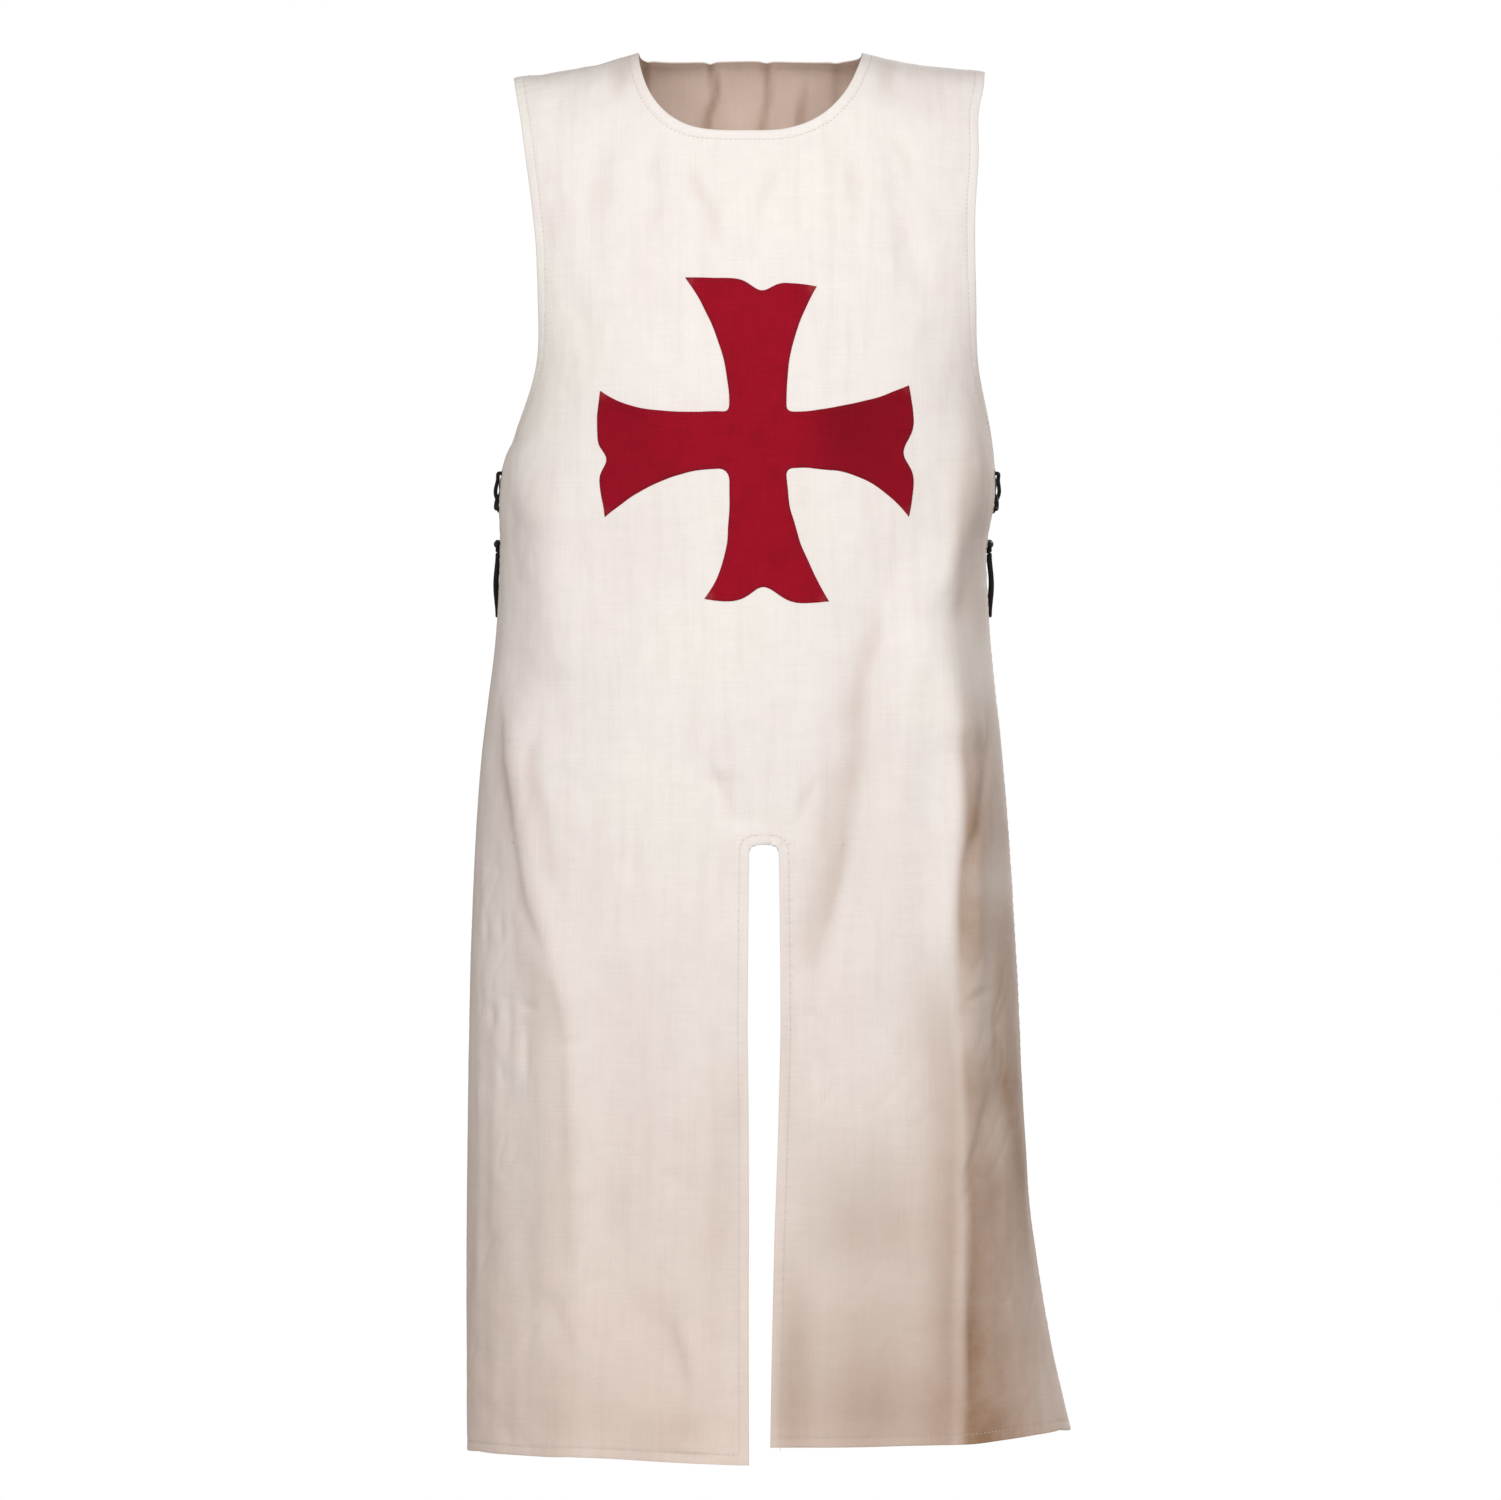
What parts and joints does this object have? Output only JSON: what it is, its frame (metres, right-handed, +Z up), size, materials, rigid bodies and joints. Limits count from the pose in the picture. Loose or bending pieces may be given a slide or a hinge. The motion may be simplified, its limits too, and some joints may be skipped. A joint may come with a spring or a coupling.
{
  "type": "medieval surcoat",
  "caption": "Long sleeveless surcoat of pale canvas with a red cross on the breast, riding slits front and back, open sides laced at the waist, shaped as worn with no wearer",
  "frame": {"origin": "on the shoulder line, midway between the two neck points, where the wearer's shoulders hold the garment up", "axes": "metres, +Z up, the front faces -Y and the wearer's left is +X"},
  "size_m": [0.5396, 0.3156, 1.2539],
  "materials": {
    "canvas": "plain weave cotton and linen canvas, natural white, soft slubs",
    "cross_cloth": "crimson cotton, matte, a little faded at the points",
    "lace": "black round cotton cord"
  },
  "bodies": {
    "root": {"front_panel": "canvas", "back_panel": "canvas", "cross_applique": "cross_cloth", "side_lace_left": "lace", "side_lace_right": "lace", "lace_end_left_front": "lace", "lace_end_left_back": "lace", "lace_end_right_front": "lace", "lace_end_right_back": "lace"}
  },
  "joints": []
}
